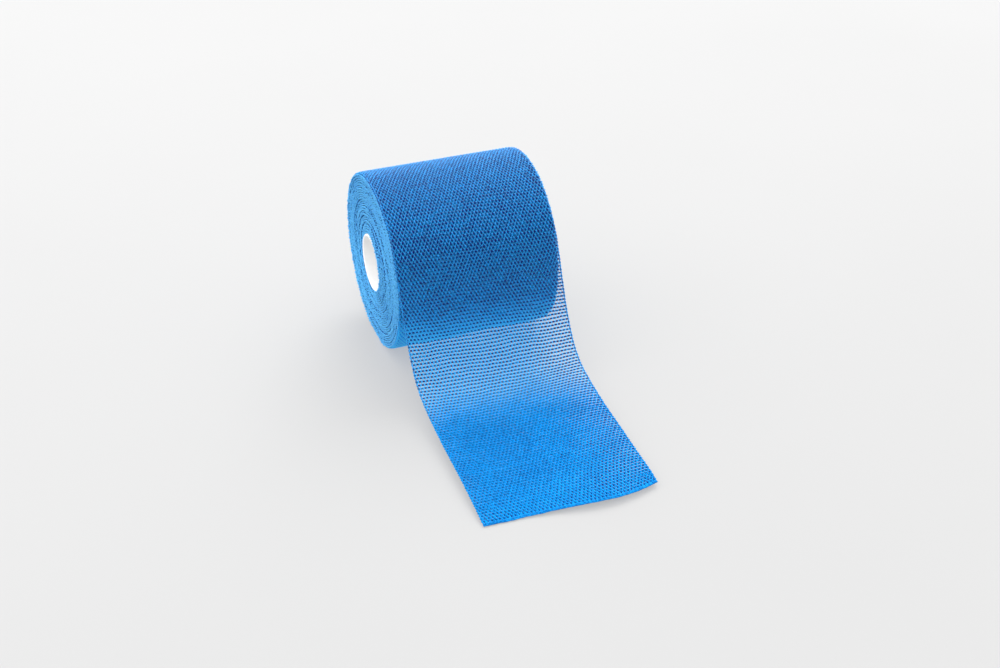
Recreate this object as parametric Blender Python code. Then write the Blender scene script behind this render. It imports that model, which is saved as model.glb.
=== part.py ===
"""A roll of knitted bandage tape on its core, with the loose end lying in front of it.

Units are metres and +Z is up. The roll's axis runs along X, the floor is z = 0, and the origin is the middle
of the flat spot that the roll rests on. The loose end leaves the front of the roll and runs out towards -Y.
Angles round the roll start at the front, at -Y, and grow over the top towards the back.
"""

import math

import bmesh
import bpy
from mathutils import Vector

# The tape
TAPE_WIDTH = 0.075
TAPE_THICKNESS = 0.001
GAP = 0.0003

# The wound roll: soft, so a little deeper than it is high, and pressed flat where it rests. The two sizes are
# those of its outermost turn where that leaves the roll, and one turn back the roll lies one step deeper.
ROLL_DEPTH = 0.0832
ROLL_HEIGHT = 0.0824
FLAT_SPOT_DEPTH = 0.0005
ROLL_SLICES = 90
STEP = TAPE_THICKNESS + GAP

# Its two ends: spiral ridges where bunches of turns stand out, and a rounded rim
END_STATIONS = 11
RIDGE_TURNS = 3
RIDGE_DEPTH = 0.0006
RIM_WIDTH = 0.0022
RIM = (
    # share of the rim's width from the wound wall out, depth below the roll's end
    (0.45, 0.0001),
    (0.80, 0.0005),
    (1.00, 0.0014),
)

# The core tube, which sits a little low in the roll and stands out at both ends
CORE_DIAMETER = 0.0266
CORE_WALL = 0.0012
CORE_PROUD = 0.001
CORE_DROP = 0.0003
CORE_EDGE = 0.0003
CORE_SEGMENTS = 48

# The loose end
LEAVING_ANGLE = math.radians(22)
LOOSE_END = (
    # distance in front of the roll's axis, height of its edges, sag of its middle below them
    (0.0433, 0.0430, 0.0000),
    (0.0470, 0.0345, 0.0000),
    (0.0510, 0.0265, 0.0001),
    (0.0560, 0.0190, 0.0004),
    (0.0620, 0.0130, 0.0009),
    (0.0700, 0.0091, 0.0016),
    (0.0820, 0.0066, 0.0024),
    (0.0980, 0.0050, 0.0030),
    (0.1180, 0.0040, 0.0028),
    (0.1340, 0.0026, 0.0018),
    (0.1456, 0.0005, 0.0000),
)
LOOSE_STATIONS = 42
LOOSE_COLUMNS = 10
LIFT_HEIGHT = 0.0030
LIFT_LENGTH = 0.022
END_BULGE = 0.0044
END_BULGE_POWER = 2.2

BOTTOM_TURN = (math.radians(270) - LEAVING_ANGLE) / (2 * math.pi)
ROLL_AXIS_Z = ROLL_HEIGHT / 2 - STEP * BOTTOM_TURN - FLAT_SPOT_DEPTH
CORE_AXIS_Z = ROLL_AXIS_Z - CORE_DROP
BORE_RADIUS = CORE_DIAMETER / 2 + GAP


def clear_scene():
    for item in list(bpy.data.objects):
        bpy.data.objects.remove(item, do_unlink=True)


def plain_material(name, color, roughness):
    material = bpy.data.materials.new(name)
    material.use_nodes = True
    shader = material.node_tree.nodes["Principled BSDF"]
    shader.inputs["Base Color"].default_value = (*color, 1.0)
    shader.inputs["Roughness"].default_value = roughness
    shader.inputs["Metallic"].default_value = 0.0
    return material


def solid_object(name, mesh_builder, material):
    """Makes one named object from a filled bmesh, with its faces pointing out."""
    bmesh.ops.recalc_face_normals(mesh_builder, faces=mesh_builder.faces)
    mesh = bpy.data.meshes.new(name)
    mesh_builder.to_mesh(mesh)
    mesh_builder.free()
    mesh.shade_smooth()
    mesh.set_sharp_from_angle(angle=math.radians(35))
    mesh.materials.append(material)
    node = bpy.data.objects.new(name, mesh)
    bpy.context.scene.collection.objects.link(node)
    return node


def smooth_step(value):
    value = min(max(value, 0.0), 1.0)
    return value * value * (3 - 2 * value)


def on_roll(angle, inset=0.0):
    """The (y, z) of the roll's outline at an angle, or of a point that far below its surface."""
    y = -(ROLL_DEPTH / 2 - inset) * math.cos(angle)
    z = ROLL_AXIS_Z + (ROLL_HEIGHT / 2 - inset) * math.sin(angle)
    return y, z


def on_bore(angle):
    return -BORE_RADIUS * math.cos(angle), CORE_AXIS_Z + BORE_RADIUS * math.sin(angle)


def end_profile(angle, lift):
    """The (depth, y, z) of each station of one end, from the bore to the rim.

    lift is how far the outermost turn stands above the turn below it at this angle.
    """
    inner_y, inner_z = on_bore(angle)
    wall_y, wall_z = on_roll(angle, STEP + RIM_WIDTH)
    profile = []
    for station in range(END_STATIONS):
        share = station / (END_STATIONS - 1)
        ridge = math.cos(2 * math.pi * RIDGE_TURNS * share + angle)
        depth = RIDGE_DEPTH * (1 + ridge) / 2
        y = inner_y + (wall_y - inner_y) * share
        z = inner_z + (wall_z - inner_z) * share
        profile.append((depth, y, z))
    for share, depth in RIM:
        y, z = on_roll(angle, STEP - lift + RIM_WIDTH * (1 - share))
        profile.append((depth, y, z))
    return profile


def roll_slice(turn):
    """One radial slice of the roll, bore to rim on the left and rim to bore on the right, as points.

    turn runs from 0, where the outermost turn leaves the roll, to 1, one turn deeper at the same place.
    """
    angle = LEAVING_ANGLE + 2 * math.pi * turn
    profile = end_profile(angle, STEP * (1 - turn))
    left = [Vector((-TAPE_WIDTH / 2 + depth, y, max(z, 0.0))) for depth, y, z in profile]
    right = [Vector((TAPE_WIDTH / 2 - depth, y, max(z, 0.0))) for depth, y, z in reversed(profile)]
    return left + right


def add_faces(builder, ring, next_ring):
    """Joins two rings of points, leaving out the corners that the two rings share."""
    for index in range(len(ring)):
        after = (index + 1) % len(ring)
        corners = [ring[index], ring[after], next_ring[after], next_ring[index]]
        corners = list(dict.fromkeys(corners))
        if len(corners) > 2:
            builder.faces.new(corners)


def build_wound_roll(material):
    """The wound form: slices round the axis, whose last one lies one tape thickness below the first."""
    builder = bmesh.new()
    rings = []
    for number in range(ROLL_SLICES):
        points = roll_slice(number / ROLL_SLICES)
        rings.append([builder.verts.new(point) for point in points])
    # The rim's points are new at the seam, and all the other points are those of the first slice.
    last = []
    for first_point, point in zip(rings[0], roll_slice(1.0)):
        moved = (first_point.co - point).length > GAP / 2
        last.append(builder.verts.new(point) if moved else first_point)
    rings.append(last)
    for ring, next_ring in zip(rings, rings[1:]):
        add_faces(builder, ring, next_ring)
    add_faces(builder, last, rings[0])
    return solid_object("wound_roll", builder, material)


def build_core_tube(material):
    """A plain tube with softened edges, turned round the core's own axis."""
    outer = CORE_DIAMETER / 2
    inner = outer - CORE_WALL
    half = TAPE_WIDTH / 2 + CORE_PROUD
    profile = [
        (-half, inner + CORE_EDGE),
        (-half, outer - CORE_EDGE),
        (-half + CORE_EDGE, outer),
        (half - CORE_EDGE, outer),
        (half, outer - CORE_EDGE),
        (half, inner + CORE_EDGE),
        (half - CORE_EDGE, inner),
        (-half + CORE_EDGE, inner),
    ]
    builder = bmesh.new()
    rings = []
    for number in range(CORE_SEGMENTS):
        angle = 2 * math.pi * number / CORE_SEGMENTS
        ring = []
        for x, radius in profile:
            y = -radius * math.cos(angle)
            z = CORE_AXIS_Z + radius * math.sin(angle)
            ring.append(builder.verts.new((x, y, z)))
        rings.append(ring)
    for number in range(CORE_SEGMENTS):
        add_faces(builder, rings[number], rings[(number + 1) % CORE_SEGMENTS])
    return solid_object("core_tube", builder, material)


def curve_through(rows, share):
    """A Catmull-Rom curve through the rows, from the second row to the last but one."""
    spans = len(rows) - 3
    span = min(int(share * spans), spans - 1)
    t = share * spans - span
    before, start, end, after = (Vector(row) for row in rows[span : span + 4])
    bend = 2 * before - 5 * start + 4 * end - after
    twist = 3 * start - before - 3 * end + after
    return 0.5 * (2 * start + t * (end - before) + t * t * bend + t**3 * twist)


def loose_end_rows():
    """Rows of (y, height of the middle of the sheet, sag), with one extra row at each end of the curve."""
    half_way = TAPE_THICKNESS / 2
    rows = []
    for angle in (LEAVING_ANGLE + math.radians(12), LEAVING_ANGLE):
        rows.append((*on_roll(angle, half_way), 0.0))
    rows += [(-out, height, sag) for out, height, sag in LOOSE_END]
    last, before = Vector(rows[-1]), Vector(rows[-2])
    rows.append(tuple(2 * last - before))
    return rows


def even_path(rows, stations):
    """Points at even distances along the curve through the rows, starting one gap past its first row."""
    fine = [curve_through(rows, number / 1200) for number in range(1201)]
    travelled = [0.0]
    for point, after in zip(fine, fine[1:]):
        travelled.append(travelled[-1] + (after.xy - point.xy).length)
    path = []
    at = 0
    for number in range(stations + 1):
        wanted = GAP + (travelled[-1] - GAP) * number / stations
        while travelled[at + 1] < wanted and at < len(fine) - 2:
            at += 1
        share = (wanted - travelled[at]) / (travelled[at + 1] - travelled[at])
        path.append(fine[at].lerp(fine[at + 1], min(share, 1.0)))
    return path


def loose_end_height(point, x):
    """The sheet's height at a place across it: the middle sags, and the cut end's right half is lifted."""
    across = 2 * x / TAPE_WIDTH
    sag = point[2] * (1 - across * across)
    near_end = smooth_step(1 - (LOOSE_END[-1][0] + point[0]) / LIFT_LENGTH)
    lift = LIFT_HEIGHT * near_end * smooth_step(across + 0.35) * (1 - 0.5 * smooth_step(across))
    return point[1] - sag + lift


def loose_end_reach(point, x):
    """The cut end isn't straight: it reaches further out right of its middle."""
    across = x / TAPE_WIDTH + 0.5
    near_end = smooth_step(1 - (LOOSE_END[-1][0] + point[0]) / LIFT_LENGTH)
    return point[0] - END_BULGE * near_end * math.sin(math.pi * across**END_BULGE_POWER)


def build_loose_end(material):
    """A sheet of even thickness, whose top and bottom lie on either side of its middle surface."""
    path = even_path(loose_end_rows(), LOOSE_STATIONS)
    builder = bmesh.new()
    rings = []
    for number, point in enumerate(path):
        before, after = path[max(number - 1, 0)], path[min(number + 1, LOOSE_STATIONS)]
        along = (after.xy - before.xy).normalized()
        normal = Vector((along.y, -along.x)) * TAPE_THICKNESS / 2
        if normal.y < 0:
            normal.negate()
        top, bottom = [], []
        for column in range(LOOSE_COLUMNS + 1):
            x = TAPE_WIDTH * (column / LOOSE_COLUMNS - 0.5)
            y = loose_end_reach(point, x)
            z = loose_end_height(point, x)
            top.append(builder.verts.new((x, y + normal.x, z + normal.y)))
            bottom.append(builder.verts.new((x, y - normal.x, max(z - normal.y, 0.0))))
        rings.append(top + bottom[::-1])
    for ring, next_ring in zip(rings, rings[1:]):
        add_faces(builder, ring, next_ring)
    for ring in (rings[0], rings[-1]):
        for column in range(LOOSE_COLUMNS):
            across = len(ring) - 1 - column
            builder.faces.new([ring[column], ring[column + 1], ring[across - 1], ring[across]])
    return solid_object("loose_end", builder, material)


clear_scene()
blue_knit = plain_material("blue knitted tape", (0.02, 0.22, 0.72), 0.85)
white_core = plain_material("white core", (0.82, 0.82, 0.81), 0.45)
build_wound_roll(blue_knit)
build_loose_end(blue_knit)
build_core_tube(white_core)
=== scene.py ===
# %% [markdown]
# A roll of blue knitted bandage tape, with its loose end lying in front of it.
#
# The real tape is knitted from textured yarn: dense rows run across it, every 1.5 mm, and between
# them only fine slanting yarns join one row to the next. So the tape is solid and dark in its rows
# and sheer in its bands, and where it leaves the roll the pale table shows through. Close up, that
# look is shape, and so this script knits the tape yarn by yarn instead of painting a pattern on a
# sheet.
#
# The CAD model gives the place and the size of everything. It is loaded first.

# %% Load the frame
import math

import bmesh
import bpy
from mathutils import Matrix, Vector, noise

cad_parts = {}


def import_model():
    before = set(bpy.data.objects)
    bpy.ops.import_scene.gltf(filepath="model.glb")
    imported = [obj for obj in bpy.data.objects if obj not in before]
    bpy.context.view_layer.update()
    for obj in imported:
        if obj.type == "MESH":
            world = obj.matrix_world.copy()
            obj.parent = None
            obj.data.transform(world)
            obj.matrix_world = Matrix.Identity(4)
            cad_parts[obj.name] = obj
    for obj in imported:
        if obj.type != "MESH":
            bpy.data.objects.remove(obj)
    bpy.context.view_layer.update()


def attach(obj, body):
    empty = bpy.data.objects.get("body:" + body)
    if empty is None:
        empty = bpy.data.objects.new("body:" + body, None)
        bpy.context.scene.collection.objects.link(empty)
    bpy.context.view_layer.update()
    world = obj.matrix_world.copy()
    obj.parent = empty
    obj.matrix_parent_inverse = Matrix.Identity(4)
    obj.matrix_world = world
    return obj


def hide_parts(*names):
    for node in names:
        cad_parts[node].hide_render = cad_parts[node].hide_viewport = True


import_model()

# %% [markdown]
# The camera stands to the left of the roll and above it, and looks down along the loose end. Its
# place and its lens were worked out from the photograph: the roll's rims, the edges of the tape and
# its cut end all fall where they do there. A plain view transform keeps the blue as strong as the
# dye.

# %% Camera
def add_object(name, data):
    """Makes an object of this data at the origin, and puts it into the scene."""
    added = bpy.data.objects.new(name, data)
    bpy.context.scene.collection.objects.link(added)
    return added


CAMERA_PLACE = (-0.1838, -0.5532, 0.3735)
CAMERA_YAW = math.radians(20.62)
CAMERA_PITCH = math.radians(33.2)
LENS = 52.54

camera_data = bpy.data.cameras.new("camera")
camera_data.sensor_width = 36
camera_data.lens = LENS
camera = add_object("camera", camera_data)
camera.location = CAMERA_PLACE
camera.rotation_euler = (math.pi / 2 - CAMERA_PITCH, 0, -CAMERA_YAW)
bpy.context.scene.camera = camera
bpy.context.scene.view_settings.view_transform = "Standard"
print("camera looks down by", round(math.degrees(CAMERA_PITCH), 1), "degrees")

# %% [markdown]
# Every tree of nodes below, for shapes and for materials, is built by the same few helpers. One
# starts a group with named sockets, one adds a node and fills its inputs, one finishes a tree of
# geometry nodes, and short ones do a step of arithmetic each. With them a tree reads from top to
# bottom like ordinary code.

# %% Helpers for node trees
NUMBER = "NodeSocketFloat"
COUNT = "NodeSocketInt"
SHAPE = "NodeSocketGeometry"
MATERIAL = "NodeSocketMaterial"
COLOR = "NodeSocketColor"
WHITE = (1.0, 1.0, 1.0, 1.0)


def start_group(name, kind, inputs, outputs):
    """Makes a node group with named sockets. It returns the group, its inputs and its outputs."""
    group = bpy.data.node_groups.new(name, kind)
    for label, socket_kind in inputs.items():
        group.interface.new_socket(label, in_out="INPUT", socket_type=socket_kind)
    for label, socket_kind in outputs.items():
        group.interface.new_socket(label, in_out="OUTPUT", socket_type=socket_kind)
    entry = group.nodes.new("NodeGroupInput")
    leave = group.nodes.new("NodeGroupOutput")
    return group, entry.outputs, leave.inputs


def fill(tree, sockets, values):
    """Gives each named socket its value: a number, a colour or the like, or another node's output."""
    for label, value in values.items():
        if isinstance(value, bpy.types.NodeSocket):
            tree.links.new(value, sockets[label])
        else:
            sockets[label].default_value = value


def add_node(tree, kind, inputs=None, **settings):
    """Adds a node, sets its options and fills its inputs."""
    node = tree.nodes.new(kind)
    for label, value in settings.items():
        setattr(node, label, value)
    fill(tree, node.inputs, inputs or {})
    return node


def first_of(tree, kind, inputs=None, **settings):
    """Adds a node and returns its first output."""
    return add_node(tree, kind, inputs, **settings).outputs[0]


def calculate(tree, operation, *values):
    """The result of one Math node, whose values are numbers or other nodes' outputs."""
    return first_of(tree, "ShaderNodeMath", dict(enumerate(values)), operation=operation)


def times(tree, first, second):
    return calculate(tree, "MULTIPLY", first, second)


def plus(tree, first, second):
    return calculate(tree, "ADD", first, second)


def minus(tree, first, second):
    return calculate(tree, "SUBTRACT", first, second)


def over(tree, first, second):
    return calculate(tree, "DIVIDE", first, second)


def line_of(tree, value, slope, start):
    """A straight line: it is at start where the value is 0, and it rises by slope for each 1."""
    return calculate(tree, "MULTIPLY_ADD", value, slope, start)


def smooth_share(tree, value, start, end):
    """Goes smoothly from 0 where the value is at start to 1 where it is at end."""
    settings = {"Value": value, "From Min": start, "From Max": end}
    return first_of(tree, "ShaderNodeMapRange", settings, interpolation_type="SMOOTHSTEP")


def before(tree, value, fade):
    """1 below the fade's two values, and 0 above them."""
    return minus(tree, 1.0, smooth_share(tree, value, *fade))


def between(tree, value, start, end):
    """1 between the two fades, and 0 outside them."""
    return times(tree, smooth_share(tree, value, *start), before(tree, value, end))


def use_group(tree, group, inputs):
    """Places a group in a tree of geometry nodes or of shader nodes."""
    kind = "GeometryNodeGroup" if group.bl_idname == "GeometryNodeTree" else "ShaderNodeGroup"
    return add_node(tree, kind, inputs, node_tree=group).outputs


def keep_value(tree, shape, label, value, kind="FLOAT"):
    """Stores a value at every point of a shape, under a name."""
    inputs = {"Geometry": shape, "Name": label, "Value": value}
    return first_of(tree, "GeometryNodeStoreNamedAttribute", inputs, data_type=kind, domain="POINT")


def read_value(tree, label, kind="FLOAT"):
    """Reads the value that is stored under a name."""
    return first_of(tree, "GeometryNodeInputNamedAttribute", {"Name": label}, data_type=kind)


def vector_of(tree, x, y, z):
    return first_of(tree, "ShaderNodeCombineXYZ", {"X": x, "Y": y, "Z": z})


def vector_step(tree, operation, first, second):
    inputs = {0: first, 1: second}
    return first_of(tree, "ShaderNodeVectorMath", inputs, operation=operation)


def scaled(tree, vector, amount):
    return first_of(tree, "ShaderNodeVectorMath", {"Vector": vector, "Scale": amount}, operation="SCALE")


def parts_of(tree, vector):
    """The parts of a vector, under the names X, Y and Z."""
    return add_node(tree, "ShaderNodeSeparateXYZ", {"Vector": vector}).outputs


def noise_at(tree, place, scale, detail):
    """A noise, under the name Fac as a number and under the name Color as three."""
    return add_node(tree, "ShaderNodeTexNoise", {"Vector": place, "Scale": scale, "Detail": detail}).outputs


def mix_colors(tree, share, first, second):
    node = add_node(tree, "ShaderNodeMix", data_type="RGBA")
    sockets = [socket for socket in node.inputs if socket.enabled]
    fill(tree, sockets, {0: share, 1: first, 2: second})
    return [socket for socket in node.outputs if socket.enabled][0]


def finish_shape(tree, shape, material, leave):
    """Ends a tree: its shape is made real, gets its material and leaves the group."""
    real = first_of(tree, "GeometryNodeRealizeInstances", {"Geometry": shape})
    finished = first_of(tree, "GeometryNodeSetMaterial", {"Geometry": real, "Material": material})
    tree.links.new(finished, leave["Geometry"])
    print("group:", tree.name, "with", len(tree.nodes), "nodes")

# %% [markdown]
# The light is that of a white studio tent: pale walls behind, above and at the left, which shine
# evenly, and a dark opening where the camera stands. So the roll's top and its left end are bright
# and its front is dim. A wide soft light from above and behind, a little from the right, is added to
# the tent. The world's colour makes the tent, because it is equally strong all over the floor.

# %% Light
KEY_STRENGTH = 2.05
KEY_ANGLE = math.radians(40)
KEY_TILT = math.radians(46)
KEY_TURN = math.radians(-33)
TENT_BRIGHT = 1.8
TENT_DIM = 0.40
TENT_SIDE = Vector((-0.50, 0.60, 0.65)).normalized()
TENT_EDGES = (-0.50, 0.20)

key_data = bpy.data.lights.new("key", "SUN")
key_data.energy = KEY_STRENGTH
key_data.angle = KEY_ANGLE
key = add_object("key", key_data)
key.rotation_euler = (-KEY_TILT, 0, KEY_TURN)

tent = bpy.data.worlds.new("tent")
tent.use_nodes = True
tent_tree = tent.node_tree
direction = add_node(tent_tree, "ShaderNodeTexCoord").outputs["Generated"]
towards = add_node(tent_tree, "ShaderNodeVectorMath", {0: direction, 1: TENT_SIDE}, operation="DOT_PRODUCT")
fade_inputs = dict(zip(("From Min", "From Max", "To Min", "To Max"), (*TENT_EDGES, TENT_DIM, TENT_BRIGHT)))
fade_inputs["Value"] = towards.outputs["Value"]
fade = first_of(tent_tree, "ShaderNodeMapRange", fade_inputs, interpolation_type="SMOOTHSTEP")
backdrop = tent_tree.nodes["Background"]
fill(tent_tree, backdrop.inputs, {"Strength": fade, "Color": WHITE})
bpy.context.scene.world = tent
print("key light", KEY_STRENGTH, "and tent", TENT_BRIGHT)

# %% [markdown]
# The tape's own path comes next. It starts at the cut end, runs back over the table, climbs to the
# roll and goes once round it. The numbers are those of the CAD model: a table for the side view of
# the loose end, and two ellipses for the roll. Each point of the path also carries how far the middle
# of the tape sags there, how near it is to the cut end, and how far its rows run askew.

# %% Sizes of the tape and of the roll
TAPE_WIDTH = 0.075
TAPE_THICKNESS = 0.001
ROLL_DEPTH = 0.0832
ROLL_HEIGHT = 0.0824
FLAT_SPOT_DEPTH = 0.0005
STEP = 0.0013
CORE_DIAMETER = 0.0266
CORE_DROP = 0.0003
LEAVING_ANGLE = math.radians(22)
BOTTOM_TURN = (math.radians(270) - LEAVING_ANGLE) / (2 * math.pi)
ROLL_AXIS_Z = ROLL_HEIGHT / 2 - STEP * BOTTOM_TURN - FLAT_SPOT_DEPTH
CORE_AXIS_Z = ROLL_AXIS_Z - CORE_DROP
LEAD_IN = math.radians(12)
LOOSE_END = (
    # distance in front of the roll's axis, height of its edges, sag of its middle below them
    (0.0433, 0.0430, 0.0000),
    (0.0470, 0.0345, 0.0000),
    (0.0510, 0.0265, 0.0001),
    (0.0560, 0.0190, 0.0004),
    (0.0620, 0.0130, 0.0009),
    (0.0700, 0.0091, 0.0016),
    (0.0820, 0.0066, 0.0024),
    (0.0980, 0.0050, 0.0030),
    (0.1180, 0.0040, 0.0028),
    (0.1340, 0.0026, 0.0018),
    (0.1456, 0.0005, 0.0000),
)
LIFT_HEIGHT = 0.0030
LIFT_LENGTH = 0.022
END_BULGE = 0.0044
END_BULGE_POWER = 2.2
print("the roll's axis is", round(ROLL_AXIS_Z * 1000, 1), "mm above the floor")


# %% Helpers for the path
def smooth_step(value):
    value = min(max(value, 0.0), 1.0)
    return value * value * (3 - 2 * value)


def on_roll(angle, inset):
    """The (y, z) of a point so far below the roll's outline, at an angle from the front over the top."""
    y = -(ROLL_DEPTH / 2 - inset) * math.cos(angle)
    z = ROLL_AXIS_Z + (ROLL_HEIGHT / 2 - inset) * math.sin(angle)
    return y, z


def curve_through(rows, share):
    """A Catmull-Rom curve through the rows, from the second row to the last but one."""
    spans = len(rows) - 3
    span = min(int(share * spans), spans - 1)
    t = share * spans - span
    before, start, end, after = (Vector(row) for row in rows[span : span + 4])
    bend = 2 * before - 5 * start + 4 * end - after
    twist = 3 * start - before - 3 * end + after
    return 0.5 * (2 * start + t * (end - before) + t * t * bend + t**3 * twist)


def loose_end_points(count):
    """Points (y, height, sag) along the loose end, from its cut end to where it leaves the roll."""
    rows = [(*on_roll(LEAVING_ANGLE + extra, TAPE_THICKNESS / 2), 0.0) for extra in (LEAD_IN, 0)]
    rows += [(-out, height, sag) for out, height, sag in LOOSE_END]
    rows.append(tuple(2 * Vector(rows[-1]) - Vector(rows[-2])))
    return [curve_through(rows, 1 - number / count) for number in range(count)]


# %% The path of the outer tape
LOOSE_POINTS = 400
TURN_POINTS = 500
TURNS_SHOWN = 1.025
SKEW = 0.0015
SKEW_RANGE = (0.062, 0.090)
SKEW_FADE = (0.150, 0.210)


def outer_points():
    """Points (y, z, sag) along the loose end and then round the roll, a little past one whole turn."""
    points = loose_end_points(LOOSE_POINTS)
    for number in range(TURN_POINTS + 1):
        turn = TURNS_SHOWN * number / TURN_POINTS
        y, z = on_roll(LEAVING_ANGLE + 2 * math.pi * turn, STEP * turn + TAPE_THICKNESS / 2)
        points.append(Vector((y, max(z, TAPE_THICKNESS / 2), 0.0)))
    return points


def distances(points):
    """How far along the path each point lies."""
    travelled = [0.0]
    for point, after in zip(points, points[1:]):
        travelled.append(travelled[-1] + (after.xy - point.xy).length)
    return travelled


outer = outer_points()
outer_reach = distances(outer)
LOOSE_LENGTH = outer_reach[LOOSE_POINTS]
OUTER_LENGTH = outer_reach[-1]
print("loose end", round(LOOSE_LENGTH, 4), "m long, and with the outer turn", round(OUTER_LENGTH, 4), "m")


# %% The path as a line of points with what they carry
def line_mesh(name, places, carried):
    """A chain of points, with a vector for each point under each of the carried names."""
    mesh = bpy.data.meshes.new(name)
    mesh.from_pydata(places, [(number, number + 1) for number in range(len(places) - 1)], [])
    for label, vectors in carried.items():
        attribute = mesh.attributes.new(label, "FLOAT_VECTOR", "POINT")
        attribute.data.foreach_set("vector", [value for vector in vectors for value in vector])
    return mesh


def drape_at(point, reach):
    """Sag of the middle, nearness to the cut end, and how far a row's end runs ahead of its middle."""
    near_end = smooth_step(1 - (LOOSE_END[-1][0] + point.x) / LIFT_LENGTH)
    rise = smooth_step((reach - SKEW_RANGE[0]) / (SKEW_RANGE[1] - SKEW_RANGE[0]))
    fade = smooth_step((reach - SKEW_FADE[0]) / (SKEW_FADE[1] - SKEW_FADE[0]))
    return point.z, near_end, SKEW * rise * (1 - fade)


RIM_FADE = 0.020
places = [(0.0, point.x, point.y) for point in outer]
drapes = [drape_at(point, reach) for point, reach in zip(outer, outer_reach)]
rims = [(smooth_step((reach - LOOSE_LENGTH) / RIM_FADE), 0.0, 0.0) for reach in outer_reach]
tape_path = line_mesh("tape_path", places, {"drape": drapes, "rim": rims})
print("the path has", len(tape_path.vertices), "points")

# %% [markdown]
# Three groups of geometry nodes do the knitting, and each could serve any other knitted tape.
#
# The first lays out parallel chains of points. All it knows of a point is its chain's number and its
# place in the chain.

# %% Geometry nodes: parallel chains of points
CHAINS_IN = {"Chains": COUNT, "Points": COUNT}
CHAINS_OUT = {"Geometry": SHAPE, "Chain": NUMBER, "Place": NUMBER}
chains, entry, leave = start_group("parallel chains", "GeometryNodeTree", CHAINS_IN, CHAINS_OUT)


def chain_number(tree, index, points):
    return calculate(tree, "FLOOR", over(tree, index, points))


total = times(chains, entry["Chains"], entry["Points"])
line = add_node(chains, "GeometryNodeMeshLine", {"Count": total, "Offset": (0, 0, 0)})
ends = add_node(chains, "GeometryNodeInputMeshEdgeVertices").outputs
first = chain_number(chains, ends["Vertex Index 1"], entry["Points"])
second = chain_number(chains, ends["Vertex Index 2"], entry["Points"])
crossing = calculate(chains, "ABSOLUTE", minus(chains, first, second))
cut_inputs = {"Geometry": line.outputs["Mesh"], "Selection": crossing}
cut = add_node(chains, "GeometryNodeDeleteGeometry", cut_inputs, domain="EDGE", mode="EDGE_FACE")
index = add_node(chains, "GeometryNodeInputIndex").outputs["Index"]
chain = chain_number(chains, index, entry["Points"])
place = minus(chains, index, times(chains, chain, entry["Points"]))
fill(chains, leave, {"Geometry": cut.outputs["Geometry"], "Chain": chain, "Place": place})
print("group:", chains.name, "with", len(chains.nodes), "nodes")

# %% [markdown]
# The second group lays points on the tape. It takes a place across the tape, a distance along it and
# a height above its middle surface, and it finds the real place on the path. The sag, the lifted
# corner, the bulging cut end, the rolled-in rim and the rows that wander and bend back at the edges
# all happen here, once, for whatever is laid on the tape. It also shakes each point a little, because
# no two stitches are quite alike.

# %% Geometry nodes: lay points on the tape
RIM_DRAW_IN = 0.010
RIM_DROP = 0.0003
RIM_START = 0.94
SIDE_BEND = 0.0026
SIDE_BEND_POWER = 6.0
SIDE_BEND_START = 0.010
SIDE_BEND_FADE = (0.050, 0.090)
LEFT_BEND = 0.75
SHAKE = 0.00025
SHAKE_SCALE = 500.0
WANDER = 0.0009
WANDER_SCALE = 60.0
LIFT_RANGE = (-0.75, 0.60)
LIFT_EASE = 0.5
LOWEST = 0.0004
LAY_IN = {"Geometry": SHAPE, "Tape": SHAPE, "Across": NUMBER, "Along": NUMBER, "Height": NUMBER}
lay, entry, leave = start_group("lay on the tape", "GeometryNodeTree", LAY_IN, {"Geometry": SHAPE})


def read_tape(label, distance):
    """What the tape's path carries under this name, and its place and direction, at a distance along it."""
    inputs = {"Curves": entry["Tape"], "Value": read_value(lay, label, "FLOAT_VECTOR"), "Length": distance}
    sample = add_node(lay, "GeometryNodeSampleCurve", inputs, mode="LENGTH", data_type="FLOAT_VECTOR")
    return parts_of(lay, sample.outputs["Value"]), sample.outputs


# The knit isn't quite even, so every point is moved a little.
plain_spot = vector_of(lay, entry["Across"], entry["Along"], entry["Height"])
shaken = noise_at(lay, plain_spot, SHAKE_SCALE, 0.0)["Color"]
shake = vector_step(lay, "SUBTRACT", shaken, (0.5, 0.5, 0.5))
shake = vector_step(lay, "MULTIPLY", shake, (SHAKE, SHAKE, SHAKE / 2))
shake = parts_of(lay, shake)

# A row runs askew, it wanders a little along the tape, and on the free end it bends back at the sides.
side = over(lay, entry["Across"], TAPE_WIDTH / 2)
skew = read_tape("drape", entry["Along"])[0]["Z"]
spot = vector_of(lay, entry["Across"], entry["Along"], 0.0)
wander = noise_at(lay, spot, WANDER_SCALE, 2.0)["Fac"]
wander = times(lay, minus(lay, wander, 0.5), 2 * WANDER)
ahead = minus(lay, wander, times(lay, skew, side))
to_side = calculate(lay, "MAXIMUM", side, times(lay, side, -LEFT_BEND))
free = before(lay, entry["Along"], SIDE_BEND_FADE)
bent = times(lay, calculate(lay, "POWER", to_side, SIDE_BEND_POWER), free)
bent = times(lay, bent, smooth_share(lay, entry["Along"], 0.0, SIDE_BEND_START))
ahead = line_of(lay, bent, -SIDE_BEND, ahead)
ahead = plus(lay, ahead, shake["Y"])
along = calculate(lay, "MAXIMUM", plus(lay, entry["Along"], ahead), 0.0)
drape, tape = read_tape("drape", along)
rim = read_tape("rim", along)[0]["X"]

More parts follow.
